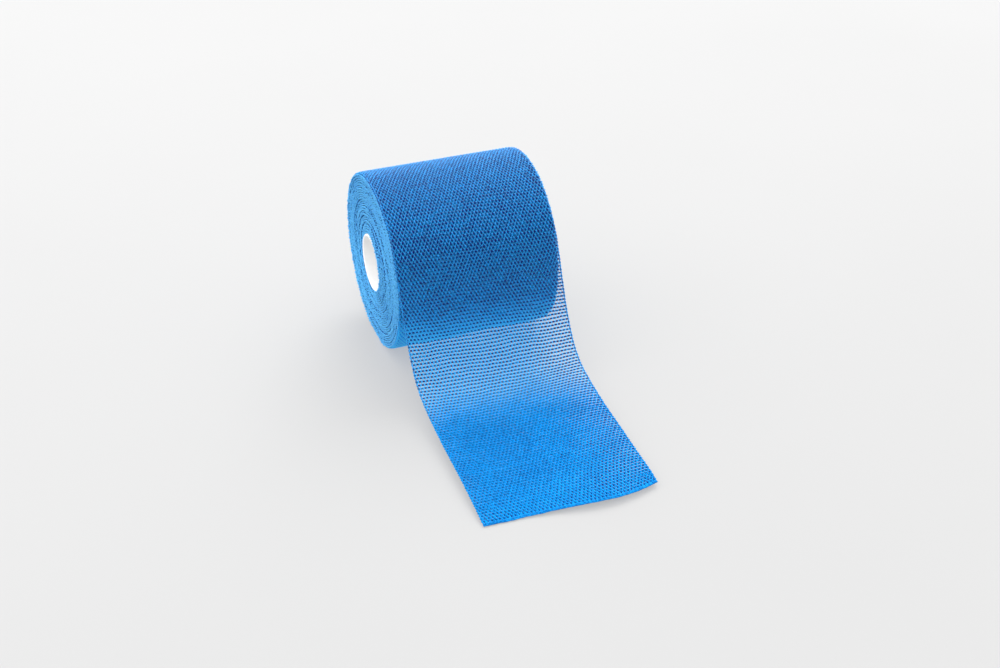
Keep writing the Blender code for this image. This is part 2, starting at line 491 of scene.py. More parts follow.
# The middle sags, and the cut end bulges and lifts on its right.
inner = minus(lay, 1.0, calculate(lay, "POWER", side, 2.0))
sag = times(lay, drape["X"], inner)
from_left = calculate(lay, "MAXIMUM", line_of(lay, side, 0.5, 0.5), 0.0)
swung = times(lay, calculate(lay, "POWER", from_left, END_BULGE_POWER), math.pi)
arch = calculate(lay, "SINE", swung)
bulge = times(lay, times(lay, arch, drape["Y"]), -END_BULGE)
rise = times(lay, smooth_share(lay, side, *LIFT_RANGE), drape["Y"])
ease = line_of(lay, smooth_share(lay, side, 0.0, 1.0), -LIFT_EASE, 1.0)
lift = times(lay, times(lay, rise, ease), LIFT_HEIGHT)

# The rims of the roll are drawn in and rolled down.
outward = calculate(lay, "ABSOLUTE", side)
at_rim = times(lay, smooth_share(lay, outward, RIM_START, 1.0), rim)
drop = times(lay, at_rim, RIM_DROP)
narrow = line_of(lay, rim, -RIM_DRAW_IN, 1.0)
height = minus(lay, plus(lay, entry["Height"], shake["Z"]), drop)
shaken_across = plus(lay, entry["Across"], shake["X"])

normal = vector_step(lay, "CROSS_PRODUCT", (1.0, 0.0, 0.0), tape["Tangent"])
raised = scaled(lay, normal, height)
real_across = times(lay, shaken_across, narrow)
shift = vector_of(lay, real_across, bulge, minus(lay, lift, sag))
spot = vector_step(lay, "ADD", vector_step(lay, "ADD", tape["Position"], shift), raised)
spot = vector_step(lay, "MAXIMUM", spot, (-1.0, -1.0, LOWEST))
moved = first_of(lay, "GeometryNodeSetPosition", {"Geometry": entry["Geometry"], "Position": spot})
lay.links.new(keep_value(lay, moved, "facing", normal, "FLOAT_VECTOR"), leave["Geometry"])
print("group:", lay.name, "with", len(lay.nodes), "nodes")

# %% [markdown]
# The third group spins yarn round the chains: a closed tube whose radius may change from point to
# point. It keeps four things on the yarn's surface for its material to read: how densely it is
# knitted, with painted light and painted shade added to that number, how far it is stretched, how far
# along the yarn a point lies, and how far round it.

# %% Geometry nodes: spin yarn along chains
SPIN_IN = {"Geometry": SHAPE, "Sides": COUNT}
SPIN_IN |= dict.fromkeys(("Radius", "Density", "Stretch", "Flatness"), NUMBER)
spin, entry, leave = start_group("spin yarn", "GeometryNodeTree", SPIN_IN, {"Geometry": SHAPE})


# The density number also carries painted light and painted shade, which the material turns into colour.
held = keep_value(spin, entry["Geometry"], "yarn_density_and_painted_light", entry["Density"])
held = keep_value(spin, held, "yarn_stretch", entry["Stretch"])
held = keep_value(spin, held, "yarn_radius", entry["Radius"])
yarn = first_of(spin, "GeometryNodeMeshToCurve", {"Mesh": held})
upright = {"Curve": yarn, "Normal": read_value(spin, "facing", "FLOAT_VECTOR")}
yarn = first_of(spin, "GeometryNodeSetCurveNormal", upright, mode="FREE")
yarn = keep_value(spin, yarn, "along_yarn", add_node(spin, "GeometryNodeSplineParameter").outputs["Length"])
ring = first_of(spin, "GeometryNodeCurvePrimitiveCircle", {"Resolution": entry["Sides"], "Radius": 1.0})
flat_scale = vector_of(spin, minus(spin, 1.0, entry["Flatness"]), 1.0, 1.0)
ring = first_of(spin, "GeometryNodeTransform", {"Geometry": ring, "Scale": flat_scale})
ring = keep_value(spin, ring, "around_yarn", add_node(spin, "GeometryNodeSplineParameter").outputs["Factor"])
width = read_value(spin, "yarn_radius")
tube_inputs = {"Curve": yarn, "Profile Curve": ring, "Scale": width, "Fill Caps": True}
tube = first_of(spin, "GeometryNodeCurveToMesh", tube_inputs)
smooth = first_of(spin, "GeometryNodeSetShadeSmooth", {"Geometry": tube})
for label in ("yarn_radius", "facing"):
    smooth = first_of(spin, "GeometryNodeRemoveAttribute", {"Geometry": smooth, "Name": label})
spin.links.new(smooth, leave["Geometry"])
print("group:", spin.name, "with", len(spin.nodes), "nodes")

# %% [markdown]
# Now the knit itself. Its tree takes the tape's path and gives back a stretch of finished tape, so
# many rows long. A row is one dark yarn across the tape, and over the rows lies a net of light
# slanting legs, two for each stitch, which zigzag from row to row. A looped yarn binds both edges.
# The free end isn't stretched, so its yarns are thick and it is nearly closed. Between it and the
# roll the tape is pulled tight: there the legs are thin and get a painted backlight, a paler blue and
# a glow, and the table shows through, most of all at the right edge. On the roll the stretched net
# lies over the turns below it, which are painted dark as painted shade, and low on the roll's front
# the colour is painted lighter for the light that comes through the loose end.

# %% Geometry nodes: the knit
KNIT_SHAPE = ("First row", "Row pitch", "Row start", "Width")
KNIT_ROWS = ("Row radius", "Relaxed row", "Row flatness")
KNIT_LEGS = ("Leg radius", "Relaxed leg", "Leg flatness", "Edge radius")
KNIT_IN = {"Tape": SHAPE, "Rows": COUNT, "Stitches": COUNT, "Material": MATERIAL}
KNIT_IN |= dict.fromkeys(KNIT_SHAPE + KNIT_ROWS + KNIT_LEGS, NUMBER)
POINTS_A_STITCH = 2
POINTS_A_LEG = 3
POINTS_A_LOOP = 3
ROW_SIDES = 4
LEG_SIDES = 3
ROW_SWELL = 0.12
LEG_RISE = 0.00048
LEG_DIFFERENCE = 0.25
RELAXED_RANGE = (0.055, 0.085)
RELAXED_DENSITY = 0.80
RELAXED_LEG_DENSITY = 0.18
SHEER_START = (0.055, 0.082)
SHEER_END = (0.096, 0.116)
ROLL_BEHIND = (0.134, 0.150)
WOUND_THINNING = 0.20
TOP_RANGE = (0.150, 0.185)
TOP_FILLING = 0.09
RIGHT_SIDE = (0.008, 0.036)
LEFT_SIDE = (0.026, 0.036)
LEFT_SHARE = 0.35
SIDE_THINNING = 0.50
# Painted backlight: these two amounts push the legs of the sheer zone and of the sides below zero density,
# so they turn paler and glow.
SIDE_BACKLIGHT = 0.30
SIDE_LEAST = 0.65
SHEER_BACKLIGHT = 0.60
# Painted light: the stretch low on the roll's front between these fades is painted lighter.
LOW_START = (0.290, 0.315)
LOW_END = (0.352, 0.373)
PAINTED_LOW_LIGHT = 0.90
knit, entry, leave = start_group("knit", "GeometryNodeTree", KNIT_IN, {"Geometry": SHAPE})
tape_curve = first_of(knit, "GeometryNodeMeshToCurve", {"Mesh": entry["Tape"]})
stitch = over(knit, entry["Width"], entry["Stitches"])


def row_distance(row):
    """How far from the cut end a row lies: rows are counted from the first row of the whole tape."""
    return line_of(knit, plus(knit, row, 0.5), entry["Row pitch"], entry["Row start"])


def half_if_odd(row):
    """Every other row is half a stitch out of step."""
    return times(knit, calculate(knit, "FLOORED_MODULO", row, 2.0), 0.5)


def relaxing(distance, stretched_radius, relaxed_radius):
    """The free end isn't stretched, and so its yarns are thicker there."""
    stretched = smooth_share(knit, distance, *RELAXED_RANGE)
    thinner = times(knit, minus(knit, stretched_radius, relaxed_radius), stretched)
    return plus(knit, relaxed_radius, thinner)


def sheer_part(along):
    """1 between the roll and the floor, where the tape is stretched most, and 0 elsewhere."""
    return between(knit, along, SHEER_START, SHEER_END)


def side_part(across, along):
    """Nearly 1 at the loose end's right edge, and a little less near the cut end and at its left edge."""
    right = smooth_share(knit, across, *RIGHT_SIDE)
    left = smooth_share(knit, times(knit, across, -1.0), *LEFT_SIDE)
    sides = line_of(knit, left, LEFT_SHARE, right)
    strength = line_of(knit, sheer_part(along), 1 - SIDE_LEAST, SIDE_LEAST)
    return times(knit, times(knit, sides, strength), before(knit, along, ROLL_BEHIND))


def low_part(along):
    """1 low on the roll's front, and 0 elsewhere: there a painted light makes the colour lighter, for the
    light that comes through the loose end.
    """
    return between(knit, along, LOW_START, LOW_END)


def lay_and_spin(shapes, across, along, height, radius, density, sides, flatness):
    placed = {"Geometry": shapes["Geometry"], "Tape": tape_curve}
    laid = use_group(knit, lay, placed | {"Across": across, "Along": along, "Height": height})["Geometry"]
    # Painted light: a lower density, so a lighter colour, low on the roll's front, for the light that comes
    # through the loose end.
    density = line_of(knit, low_part(along), -PAINTED_LOW_LIGHT, density)
    spun = {"Geometry": laid, "Radius": radius, "Density": density, "Sides": sides, "Flatness": flatness}
    spun["Stretch"] = smooth_share(knit, along, *RELAXED_RANGE)
    return use_group(knit, spin, spun)["Geometry"]


# %% The rows: dark yarns across the tape
row_points = line_of(knit, entry["Stitches"], POINTS_A_STITCH, 1.0)
rows = use_group(knit, chains, {"Chains": entry["Rows"], "Points": row_points})
row = plus(knit, rows["Chain"], entry["First row"])
stitches_in = over(knit, rows["Place"], POINTS_A_STITCH)
half_knit = over(knit, entry["Width"], 2.0)
across = minus(knit, times(knit, stitches_in, stitch), half_knit)
phase = times(knit, plus(knit, stitches_in, half_if_odd(row)), 2 * math.pi)
swell = line_of(knit, calculate(knit, "COSINE", phase), -ROW_SWELL, 1.0)
row_along = row_distance(row)
radius = times(knit, swell, relaxing(row_along, entry["Row radius"], entry["Relaxed row"]))
density = relaxing(row_along, 1.0, RELAXED_DENSITY)
row_shape = lay_and_spin(rows, across, row_along, 0.0, radius, density, ROW_SIDES, entry["Row flatness"])

# %% The legs: light flat yarns that run from row to row, and over each row's yarn
legs_a_row = times(knit, entry["Stitches"], 2.0)
all_legs = times(knit, entry["Rows"], legs_a_row)
legs = use_group(knit, chains, {"Chains": all_legs, "Points": POINTS_A_LEG})
leg_row = calculate(knit, "FLOOR", over(knit, legs["Chain"], legs_a_row))
leg = minus(knit, legs["Chain"], times(knit, leg_row, legs_a_row))
share = over(knit, legs["Place"], POINTS_A_LEG - 1.0)
upper = plus(knit, leg_row, entry["First row"])
lean = calculate(knit, "FLOORED_MODULO", plus(knit, leg, upper), 2.0)
on_lower = calculate(knit, "ABSOLUTE", minus(knit, lean, share))
half_stitches = plus(knit, leg, share)
leg_across = times(knit, over(knit, half_stitches, 2.0), stitch)
leg_across = minus(knit, leg_across, half_knit)
leg_along = row_distance(minus(knit, upper, on_lower))
arch = calculate(knit, "COSINE", times(knit, share, 2 * math.pi))
leg_height = line_of(knit, arch, LEG_RISE / 2, LEG_RISE / 2)
leg_radius = relaxing(leg_along, entry["Leg radius"], entry["Relaxed leg"])
leg_side = side_part(leg_across, leg_along)
leg_radius = times(knit, leg_radius, line_of(knit, leg_side, -SIDE_THINNING, 1.0))
tight = line_of(knit, smooth_share(knit, leg_along, *SHEER_END), -WOUND_THINNING, 1.0)
tight = line_of(knit, smooth_share(knit, leg_along, *TOP_RANGE), TOP_FILLING, tight)
leg_radius = times(knit, leg_radius, tight)
leg_density_and_backlight = relaxing(leg_along, 0.0, RELAXED_LEG_DENSITY)
leg_density_and_backlight = line_of(knit, lean, LEG_DIFFERENCE, leg_density_and_backlight)
# Painted backlight: in the sheer zone and at the sides the legs' density goes below zero, which makes them
# paler and makes them glow.
leg_density_and_backlight = line_of(knit, sheer_part(leg_along), -SHEER_BACKLIGHT, leg_density_and_backlight)
leg_density_and_backlight = line_of(knit, leg_side, -SIDE_BACKLIGHT, leg_density_and_backlight)
leg_look = (leg_radius, leg_density_and_backlight, LEG_SIDES, entry["Leg flatness"])
leg_shape = lay_and_spin(legs, leg_across, leg_along, leg_height, *leg_look)

# %% The edges: a looped yarn along each side
LOOP_REACH = 0.00022
EDGE_DENSITY = 0.35
EDGE_SIDES = 4
edge_points = line_of(knit, entry["Rows"], POINTS_A_LOOP, 1.0)
edges = use_group(knit, chains, {"Chains": 2, "Points": edge_points})
rows_in = over(knit, edges["Place"], POINTS_A_LOOP)
edge_along = row_distance(plus(knit, minus(knit, rows_in, 0.5), entry["First row"]))
loop_phase = times(knit, rows_in, 2 * math.pi)
loop = times(knit, calculate(knit, "COSINE", loop_phase), -LOOP_REACH)
half_width = plus(knit, over(knit, entry["Width"], 2.0), loop)
which_side = line_of(knit, edges["Chain"], 2.0, -1.0)
edge_across = times(knit, half_width, which_side)
edge_height = times(knit, calculate(knit, "SINE", loop_phase), LEG_RISE / 2)
edge_look = (entry["Edge radius"], EDGE_DENSITY, EDGE_SIDES, 0.0)
edge_shape = lay_and_spin(edges, edge_across, edge_along, edge_height, *edge_look)

# %% The knit, joined
joined = knit.nodes.new("GeometryNodeJoinGeometry")
for shape in (row_shape, leg_shape, edge_shape):
    knit.links.new(shape, joined.inputs["Geometry"])
finish_shape(knit, joined.outputs["Geometry"], entry["Material"], leave)

# %% [markdown]
# The yarn is textured polyester: many fine filaments, twisted together. One group of shader nodes
# gives every blue yarn its look. Where the knitting is dense the dye looks deep, and where single
# legs lie apart it looks light. The same number also carries painted light and painted shade: the
# turns under the net are painted dark as their shade, and low on the roll's front the colour is
# painted lighter. A leg with a density below zero lies over the table alone: it gets a painted
# backlight, a paler blue and an emission glow, which stand in for the light that comes through it.
# Slow patches, stitches and single fibres vary the colour further, and the filaments' twist gives
# the bump its height. Stretched yarn is drawn smooth, so it has a soft gloss, which a coat gives, and
# the free end is matt.

# %% Shader group: filaments
FILAMENTS_IN = {"Light": COLOR, "Deep": COLOR}
FILAMENTS_IN |= dict.fromkeys(("Density", "Stretch", "Along", "Around"), NUMBER)
FILAMENTS_OUT = {"Color": COLOR, "Roughness": NUMBER, "Gloss": NUMBER, "Painted glow": COLOR, "Height": NUMBER}
GLOSS = 0.90
RELAXED_GLOSS = 0.03
# Painted backlight: a paler blue and an emission glow for thin legs, standing in for the light that comes
# through them.
PAINTED_BACKLIGHT_BLUE = (0.060, 0.560, 1.000, 1.0)
PAINTED_BACKLIGHT_GLOW = (0.000, 0.160, 0.360, 1.0)
NO_LIGHT = (0.000, 0.000, 0.000, 1.0)
TWIST_LENGTH = 0.0011
STRANDS = 3
STRAND_HEIGHT = 0.35
FUZZ_HEIGHT = 0.8
ROUGHNESS = 0.62
ROUGHNESS_CHANGE = 0.25
PATCH_SCALE = 55.0
STITCH_SCALE = 700.0
FIBRE_SCALE = 1500.0
FAC_RANGE = (0.35, 0.65)
PATCH_CHANGE = 0.30
STITCH_CHANGE = 0.50
FIBRE_CHANGE = 0.60
RELAXED_CHANGE = 0.38
DENSE_RANGE = (0.3, 0.9)
DENSE_DULLING = 0.7
filaments, entry, leave = start_group("filaments", "ShaderNodeTree", FILAMENTS_IN, FILAMENTS_OUT)
here = add_node(filaments, "ShaderNodeTexCoord").outputs["Object"]
patches = noise_at(filaments, here, PATCH_SCALE, 3.0)["Fac"]
knots = noise_at(filaments, here, STITCH_SCALE, 1.0)["Fac"]
fibres = noise_at(filaments, here, FIBRE_SCALE, 2.0)["Fac"]


def both_ways(share, amount):
    """Turns a share from 0 to 1 into a change that goes half of the amount down and half of it up."""
    return line_of(filaments, share, amount, -amount / 2)


share = plus(filaments, entry["Density"], both_ways(patches, PATCH_CHANGE))
stitch_change = both_ways(smooth_share(filaments, knots, *FAC_RANGE), STITCH_CHANGE)
fibre_change = both_ways(smooth_share(filaments, fibres, *FAC_RANGE), FIBRE_CHANGE)
change = plus(filaments, stitch_change, fibre_change)
strength = line_of(filaments, entry["Stretch"], 1.0 - RELAXED_CHANGE, RELAXED_CHANGE)
share = line_of(filaments, change, strength, share)
dyed = mix_colors(filaments, share, entry["Light"], entry["Deep"])
# Painted backlight: below zero density a leg is mixed towards the paler blue and given the emission glow.
backlight_share = calculate(filaments, "MAXIMUM", times(filaments, entry["Density"], -1.0), 0.0)
dyed = mix_colors(filaments, backlight_share, dyed, PAINTED_BACKLIGHT_BLUE)
through = mix_colors(filaments, backlight_share, NO_LIGHT, PAINTED_BACKLIGHT_GLOW)
turns = plus(filaments, over(filaments, entry["Along"], TWIST_LENGTH), entry["Around"])
strands = calculate(filaments, "SINE", times(filaments, turns, STRANDS * 2 * math.pi))
fuzz = times(filaments, fibres, FUZZ_HEIGHT)
ridges = line_of(filaments, strands, STRAND_HEIGHT, fuzz)
rough = line_of(filaments, fibres, ROUGHNESS_CHANGE, ROUGHNESS)
gloss = line_of(filaments, entry["Stretch"], GLOSS - RELAXED_GLOSS, RELAXED_GLOSS)
dense = smooth_share(filaments, entry["Density"], *DENSE_RANGE)
gloss = times(filaments, gloss, line_of(filaments, dense, -DENSE_DULLING, 1.0))
found = {"Color": dyed, "Roughness": rough, "Gloss": gloss, "Painted glow": through, "Height": ridges}
fill(filaments, leave, found)
print("group:", filaments.name, "with", len(filaments.nodes), "nodes")

# %% Yarn materials
LIGHT_BLUE = (0.003, 0.400, 1.000, 1.0)
DEEP_BLUE = (0.001, 0.012, 0.190, 1.0)
YARN_BUMP = 0.00006
LEFT_ON_YARN = {
    "Density": "yarn_density_and_painted_light",
    "Stretch": "yarn_stretch",
    "Along": "along_yarn",
    "Around": "around_yarn",
}


def start_material(name):
    """Makes a material. It returns the material, its tree of nodes and its shader's inputs."""
    material = bpy.data.materials.new(name)
    material.use_nodes = True
    return material, material.node_tree, material.node_tree.nodes["Principled BSDF"].inputs


def yarn_material(name, light, deep):
    """A blue yarn of two dyes, mixed by what the knit left on its surface."""
    material, tree, shader = start_material(name)
    inputs = {"Light": light, "Deep": deep}
    for label, kept in LEFT_ON_YARN.items():
        inputs[label] = add_node(tree, "ShaderNodeAttribute", attribute_name=kept).outputs["Fac"]
    look = use_group(tree, filaments, inputs)
    bump = first_of(tree, "ShaderNodeBump", {"Height": look["Height"], "Distance": YARN_BUMP})
    fill(tree, shader, {"Base Color": look["Color"], "Roughness": look["Roughness"], "Normal": bump})
    fill(tree, shader, {"Coat Weight": look["Gloss"], "Coat Roughness": 0.4, "Specular IOR Level": 0.05})
    fill(tree, shader, {"Emission Color": look["Painted glow"], "Emission Strength": 1.0})
    fill(tree, shader, {"Sheen Weight": 0.06, "Sheen Roughness": 0.15})
    return material


knit_blue = yarn_material("knitted yarn", LIGHT_BLUE, DEEP_BLUE)
print("material:", knit_blue.name)

# %% [markdown]
# A modifier carries the knit's tree. It grows a stretch of tape from the path, the result is taken as
# a plain mesh, and the modifier goes with the object that held it. A stretch of 86 rows has about
# 179,000 triangles, so the loose end is one piece and the turn round the roll is three.


# %% Grow a piece from a tree
def grow(name, mesh, tree, settings):
    """Runs a tree of geometry nodes on a mesh. The result is a plain mesh in an object at the origin."""
    seed = add_object(name + "_seed", mesh)
    modifier = seed.modifiers.new("grow", "NODES")
    modifier.node_group = tree
    for item in tree.interface.items_tree:
        if item.in_out == "INPUT" and item.name in settings:
            modifier[item.identifier] = settings[item.name]
    graph = bpy.context.evaluated_depsgraph_get()
    result = seed.evaluated_get(graph)
    grown = bpy.data.meshes.new_from_object(result, preserve_all_data_layers=True, depsgraph=graph)
    bpy.data.objects.remove(seed)
    grown.name = name
    piece = add_object(name, grown)
    grown.calc_loop_triangles()
    print(name, "has", len(grown.loop_triangles), "triangles")
    return piece


# %% The loose end and the outer turn
ROW_PITCH = 0.0015
STITCHES = 46
KNIT_WIDTH = 0.0741
SEALED_LENGTH = 0.0016
KNIT_SIZES = {
    "Stitches": STITCHES,
    "Row pitch": ROW_PITCH,
    "Row start": SEALED_LENGTH,
    "Width": KNIT_WIDTH,
    "Row radius": 0.00036,
    "Relaxed row": 0.00048,
    "Row flatness": 0.45,
    "Leg radius": 0.00028,
    "Relaxed leg": 0.00045,
    "Leg flatness": 0.80,
    "Edge radius": 0.00026,
    "Material": knit_blue,
}
ALL_ROWS = int((OUTER_LENGTH - SEALED_LENGTH) / ROW_PITCH)
LOOSE_ROWS = 86
TURN_PIECES = 3
TURN_ROWS = math.ceil((ALL_ROWS - LOOSE_ROWS) / TURN_PIECES)


def knit_rows(name, first_row, row_count):
    return grow(name, tape_path, knit, KNIT_SIZES | {"First row": float(first_row), "Rows": row_count})


loose_end = knit_rows("loose_end_knit", 0, LOOSE_ROWS)
outer_turn = []
for number in range(TURN_PIECES):
    first_row = LOOSE_ROWS + number * TURN_ROWS
    row_count = min(TURN_ROWS, ALL_ROWS - first_row)
    outer_turn.append(knit_rows(f"outer_turn_{number + 1}", first_row, row_count))
print(LOOSE_ROWS, "rows in the loose end,", ALL_ROWS - LOOSE_ROWS, "round the roll")

# %% [markdown]
# The cut end doesn't fray, because the cut has melted the yarns into a narrow flat band. It is one
# chain of points across the tape, spun into a flat yarn of uneven width with the knit's own two
# groups.

# %% Geometry nodes: the sealed end
SEAL_IN = {"Tape": SHAPE, "Length": NUMBER, "Width": NUMBER, "Flatness": NUMBER, "Material": MATERIAL}
SEAL_POINTS = 142
SEAL_UNEVEN = 0.10
SEAL_WAVE_SCALE = 600.0
SEAL_SIDES = 8
SEAL_FLATNESS = 0.6
SEAL_DENSITY = 0.50
seal, entry, leave = start_group("sealed end", "GeometryNodeTree", SEAL_IN, {"Geometry": SHAPE})
tape_curve = first_of(seal, "GeometryNodeMeshToCurve", {"Mesh": entry["Tape"]})
band = use_group(seal, chains, {"Chains": 1, "Points": SEAL_POINTS})
across = over(seal, band["Place"], SEAL_POINTS - 1.0)
across = times(seal, minus(seal, across, 0.5), entry["Width"])
waves = noise_at(seal, vector_of(seal, across, 0.0, 0.0), SEAL_WAVE_SCALE, 2.0)["Fac"]
half = times(seal, entry["Length"], 0.5)
radius = times(seal, half, line_of(seal, waves, SEAL_UNEVEN, 1 - SEAL_UNEVEN / 2))
placed = {"Geometry": band["Geometry"], "Tape": tape_curve, "Across": across, "Along": half, "Height": 0.0}
laid = use_group(seal, lay, placed)["Geometry"]
spun = {"Geometry": laid, "Radius": radius, "Density": SEAL_DENSITY, "Sides": SEAL_SIDES}
spun["Flatness"] = entry["Flatness"]
finish_shape(seal, use_group(seal, spin, spun)["Geometry"], entry["Material"], leave)
seal_sizes = {"Length": SEALED_LENGTH, "Width": KNIT_WIDTH, "Flatness": SEAL_FLATNESS, "Material": knit_blue}
cut_end = grow("sealed_cut_end", tape_path, seal, seal_sizes)

# %% [markdown]
# Under the outer turn lies the rest of the tape, wound 26 times round the core. Only its edges show,
# at the two ends of the roll, so it is one long strip with a rounded edge and no knit of its own. Its
# path is a spiral that goes evenly from the outer turn's ellipse to the core's circle. The turns
# don't lie quite level: bunches of them stand out or lie back, as they did in the CAD model.

# %% The path of the wound tape
WOUND_TURNS = 26
POINTS_A_TURN = 96
RIDGE_TURNS = 3
RIDGE_DEPTH = 0.0006
RIDGE_FADE = 0.15
LIP = 0.0010
LIP_SHARES = (-0.03, 0.02, 0.30)
LIP_MIDDLE = 0.5
LIP_SWING = 0.6
TURN_JITTER = 0.00060
JITTER_STEP = 1.7
JITTER_SIDES = (3.0, 11.0)
WOUND_START = 1.03
WOUND_SPARE = 0.02
PACKING = 0.86
WALL_INSET = 0.0010
BORE_RADIUS = CORE_DIAMETER / 2 + 0.0003


def wound_place(turn):
    """So many turns from the leaving line: the (y, z), the share of the way from bore to wall, the angle."""
    share = 1 - (turn - 1) / WOUND_TURNS
    angle = LEAVING_ANGLE + 2 * math.pi * turn
    wall = Vector(on_roll(angle, WALL_INSET))
    bore = Vector((-BORE_RADIUS * math.cos(angle), CORE_AXIS_Z + BORE_RADIUS * math.sin(angle)))
    return bore.lerp(wall, share), share, angle


def end_depths(turn, share, angle):
    """How far the left and the right edge lie back from the ends of the roll."""
    ridge = RIDGE_DEPTH * (1 + math.cos(2 * math.pi * RIDGE_TURNS * share + angle)) / 2
    ridge *= smooth_step((1 - share) / RIDGE_FADE)
    start, top, end = LIP_SHARES
    lip = LIP * smooth_step((share - start) / (top - start)) * smooth_step((end - share) / (end - top))
    lip *= smooth_step(LIP_MIDDLE + LIP_SWING * math.cos(angle))
    depths = []
    for side in JITTER_SIDES:
        jitter = TURN_JITTER * noise.noise(Vector((turn * JITTER_STEP, side, 0.5)))
        jitter *= smooth_step((1 - share) / RIDGE_FADE)
        depths.append(max(ridge + jitter, 0.0) * (1 - lip / LIP) - lip)
    return depths


pitch = (ROLL_DEPTH / 2 - WALL_INSET - BORE_RADIUS) / WOUND_TURNS
WOUND_THICKNESS = PACKING * pitch
wound_places, wound_carried = [], []
wound_length = WOUND_TURNS + 1 - WOUND_START - WOUND_SPARE
for number in range(int(wound_length * POINTS_A_TURN) + 1):
    turn = WOUND_START + number / POINTS_A_TURN
    (y, z), share, angle = wound_place(turn)
    inward = Vector((y, z - ROLL_AXIS_Z)).normalized() * WOUND_THICKNESS / 2
    lowest = (1 - share) * (ROLL_AXIS_Z - BORE_RADIUS) + TAPE_THICKNESS
    wound_places.append((0.0, y - inward.x, max(z - inward.y, lowest)))
    wound_carried.append((*end_depths(turn, share, angle), share))
wound_path = line_mesh("wound_path", wound_places, {"ends": wound_carried})
wound_reach = distances([Vector((place[1], place[2])) for place in wound_places])
print("wound tape", round(wound_reach[-1], 3), "m, each turn", round(pitch * 1000, 2), "mm deep")

# %% [markdown]
# The strip is a profile drawn along the spiral with Curve to Mesh. Then each edge moves in by the
# depth that the path carries. A second tree sets a small loop of yarn on every row's end, because a
# knitted tape's edge is a string of loops, and they give the roll's ends their grain; their yarn is a
# paler copy of the blue, a painted sheen. The strip is painted dark, as painted shade, where it shows
# through the net round the roll, but for a stretch low on the front, which is painted lighter for the
# light that comes through the loose end.

# %% Geometry nodes: the wound strip
# Painted shade: the wound strip's dark colour stands in for the shade under the net.
WOUND_PAINTED_SHADE = 0.90
CORNER_SHARE = 0.45
LOW_STRIP_START = (0.150, 0.175)
LOW_STRIP_END = (0.208, 0.229)
STRIP_IN = {"Spiral": SHAPE, "Half width": NUMBER, "Thickness": NUMBER, "Material": MATERIAL}
strip, entry, leave = start_group("wound strip", "GeometryNodeTree", STRIP_IN, {"Geometry": SHAPE})
spiral = first_of(strip, "GeometryNodeMeshToCurve", {"Mesh": entry["Spiral"]})
upright = {"Curve": spiral, "Normal": (1.0, 0.0, 0.0)}
spiral = first_of(strip, "GeometryNodeSetCurveNormal", upright, mode="FREE")
strip_along = add_node(strip, "GeometryNodeSplineParameter").outputs["Length"]
# Painted light: the strip is painted lighter for a stretch low on the front, for the light that comes
# through the loose end.
low = between(strip, strip_along, LOW_STRIP_START, LOW_STRIP_END)
spiral = keep_value(strip, spiral, "along_yarn", strip_along)
spiral = keep_value(strip, spiral, "yarn_density_and_painted_light", line_of(strip, low, -PAINTED_LOW_LIGHT, WOUND_PAINTED_SHADE))
box = first_of(strip, "GeometryNodeCurvePrimitiveQuadrilateral", {"Width": 2.0, "Height": 1.0})
wide = vector_of(strip, entry["Half width"], entry["Thickness"], 1.0)
box = first_of(strip, "GeometryNodeTransform", {"Geometry": box, "Scale": wide})
rounding = {"Curve": box, "Radius": times(strip, entry["Thickness"], CORNER_SHARE), "Limit Radius": True}
box = first_of(strip, "GeometryNodeFilletCurve", rounding, mode="BEZIER")
swept = {"Curve": spiral, "Profile Curve": box, "Fill Caps": True}
strip_mesh = first_of(strip, "GeometryNodeCurveToMesh", swept)
ends = parts_of(strip, read_value(strip, "ends", "FLOAT_VECTOR"))
where = parts_of(strip, first_of(strip, "GeometryNodeInputPosition"))
on_right = calculate(strip, "GREATER_THAN", where["X"], 0.0)
from_right = times(strip, on_right, ends["Y"])
from_left = times(strip, minus(strip, 1.0, on_right), ends["X"])
inward = vector_of(strip, minus(strip, from_left, from_right), 0.0, 0.0)
strip_mesh = first_of(strip, "GeometryNodeSetPosition", {"Geometry": strip_mesh, "Offset": inward})
strip_mesh = first_of(strip, "GeometryNodeSetShadeSmooth", {"Geometry": strip_mesh})
finish_shape(strip, strip_mesh, entry["Material"], leave)

# %% Geometry nodes: looped yarn on the wound tape's edges
LOOPS_IN = {"Spiral": SHAPE, "Rows": COUNT, "Material": MATERIAL}
LOOPS_IN |= dict.fromkeys(("Row pitch", "Half width", "Radius"), NUMBER)
LOOP_SWING = 0.00024
LOOP_UNEVEN = 0.00030
LOOP_DENSITY = 0.25
LOOP_SIDES = 4
loops, entry, leave = start_group("edge loops", "GeometryNodeTree", LOOPS_IN, {"Geometry": SHAPE})
spiral = first_of(loops, "GeometryNodeMeshToCurve", {"Mesh": entry["Spiral"]})
loop_points = times(loops, entry["Rows"], POINTS_A_LOOP)
edges = use_group(loops, chains, {"Chains": 2, "Points": loop_points})
rows_in = over(loops, edges["Place"], POINTS_A_LOOP)
sample_inputs = {"Curves": spiral, "Value": read_value(loops, "ends", "FLOAT_VECTOR"),
                 "Length": times(loops, rows_in, entry["Row pitch"])}
sample = add_node(loops, "GeometryNodeSampleCurve", sample_inputs, mode="LENGTH", data_type="FLOAT_VECTOR")
sample = sample.outputs
ends = parts_of(loops, sample["Value"])
on_right = edges["Chain"]
lies_back = add_node(loops, "ShaderNodeMix", {"Factor": on_right, "A": ends["X"], "B": ends["Y"]})
lies_back = lies_back.outputs["Result"]
phase = times(loops, rows_in, 2 * math.pi)
scatter_inputs = {"Min": -LOOP_UNEVEN, "Max": LOOP_UNEVEN, "Seed": 5}
scatter = add_node(loops, "FunctionNodeRandomValue", scatter_inputs, data_type="FLOAT")
scatter = [socket for socket in scatter.outputs if socket.enabled][0]
swing = line_of(loops, calculate(loops, "COSINE", phase), -LOOP_SWING, scatter)
